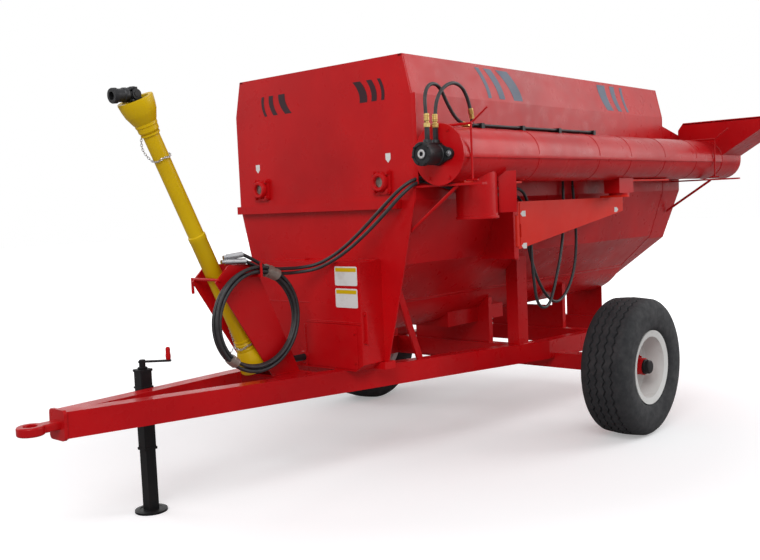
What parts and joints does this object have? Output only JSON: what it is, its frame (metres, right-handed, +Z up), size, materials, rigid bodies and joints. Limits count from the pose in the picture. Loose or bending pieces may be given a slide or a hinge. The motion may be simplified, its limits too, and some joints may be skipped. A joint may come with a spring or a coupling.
{
  "type": "towed feed mixer wagon with side discharge auger",
  "caption": "Red single-axle feed mixer wagon with open tub, mixing augers, swing-out discharge tube and jack.",
  "frame": {"origin": "on the ground under the middle of the whole machine", "axes": "+X forward to the hitch eye, +Y to the wagon's left, +Z up"},
  "size_m": [5.1044, 2.3545, 2.069],
  "materials": {
    "red_paint": "gloss",
    "orange_paint": "gloss",
    "white_paint": "satin",
    "black_paint": "satin",
    "yellow_guard": "gloss",
    "tyre_rubber": "matt",
    "hose_rubber": "satin",
    "bright_steel": "satin",
    "worn_steel": "worn",
    "dark_iron": "satin"
  },
  "bodies": {
    "chassis": {"auger_bearings": "red_paint", "axle_beam": "red_paint", "chain_casing": "red_paint", "couplers": "bright_steel", "cradle_beam": "red_paint", "cradle_left": "red_paint", "cradle_right": "red_paint", "cross_beam_front": "red_paint", "cross_beam_middle": "red_paint", "cross_beam_rear": "red_paint", "drawbar_eye": "red_paint", "drawbar_nose": "red_paint", "front_bar": "red_paint", "front_bolster": "red_paint", "front_braces": "red_paint", "hinge_bracket": "red_paint", "hose_coil": "hose_rubber", "hose_supply_lower": "hose_rubber", "hose_supply_upper": "hose_rubber", "jack_body": "black_paint", "jack_crank": "black_paint", "post_left": "red_paint", "post_right": "red_paint", "pto_guard": "yellow_guard", "pto_shaft": "dark_iron", "rail_left": "red_paint", "rail_right": "red_paint", "rear_housing": "red_paint", "saddle_front": "red_paint", "saddle_middle": "red_paint", "tub_front": "red_paint", "tub_left": "red_paint", "tub_rear": "red_paint", "tub_right": "red_paint", "tub_trough": "red_paint", "tube_rests": "red_paint"},
    "wheel_left": {"tyre_left": "tyre_rubber", "rim_left": "white_paint", "hub_left": "red_paint"},
    "wheel_right": {"tyre_right": "tyre_rubber", "rim_right": "white_paint", "hub_right": "red_paint"},
    "jack": {"jack_leg": "black_paint"},
    "mixer_left": {"auger_left": "worn_steel"},
    "mixer_right": {"auger_right": "worn_steel"},
    "mixer_floor": {"auger_floor": "worn_steel"},
    "door": {"casing_door": "red_paint"},
    "arm": {"swing_arm": "orange_paint", "hose_loop_front": "hose_rubber", "hose_loop_rear": "hose_rubber"},
    "discharge": {"discharge_tube": "red_paint", "discharge_spout": "red_paint", "tube_end": "red_paint", "tube_motor": "dark_iron", "inlet_hopper": "red_paint", "tube_pivot": "red_paint", "tube_pipes": "black_paint", "hose_motor_front": "hose_rubber", "hose_motor_rear": "hose_rubber"},
    "screw": {"discharge_screw": "worn_steel"}
  },
  "joints": [
    {"name": "wheel_left_turn", "type": "hinge", "parent": "chassis", "child": "wheel_left", "pos_m": [-0.595, 1.015, 0.39], "axis": [0, 1, 0], "continuous": true},
    {"name": "wheel_right_turn", "type": "hinge", "parent": "chassis", "child": "wheel_right", "pos_m": [-0.595, -1.015, 0.39], "axis": [0, 1, 0], "continuous": true},
    {"name": "jack_slide", "type": "slide", "parent": "chassis", "child": "jack", "axis": [0, 0, 1], "range_m": [0, 0.28]},
    {"name": "mixer_left_turn", "type": "hinge", "parent": "chassis", "child": "mixer_left", "pos_m": [-0.53, 0.437, 1.47], "axis": [1, 0, 0], "continuous": true},
    {"name": "mixer_right_turn", "type": "hinge", "parent": "chassis", "child": "mixer_right", "pos_m": [-0.53, -0.437, 1.47], "axis": [1, 0, 0], "continuous": true},
    {"name": "mixer_floor_turn", "type": "hinge", "parent": "chassis", "child": "mixer_floor", "pos_m": [-0.53, 0, 1], "axis": [1, 0, 0], "continuous": true},
    {"name": "door_swing", "type": "hinge", "parent": "chassis", "child": "door", "pos_m": [0.9993, 0.02, 0.669], "axis": [0, 0, -1], "range_deg": [0, 45]},
    {"name": "arm_swing", "type": "hinge", "parent": "chassis", "child": "arm", "pos_m": [0.105, 0.712, 1.193], "axis": [0, 0, -1], "range_deg": [0, 90]},
    {"name": "tube_swivel", "type": "hinge", "parent": "arm", "child": "discharge", "pos_m": [-0.905, 0.8, 1.36], "axis": [0, 0, 1], "range_deg": [0, 90]},
    {"name": "screw_turn", "type": "hinge", "parent": "discharge", "child": "screw", "pos_m": [-0.795, 0.8, 1.58], "axis": [1, 0, 0], "continuous": true}
  ],
  "couplings": [
    {"joint": "tube_swivel", "follows": "arm_swing", "ratio": 1}
  ]
}
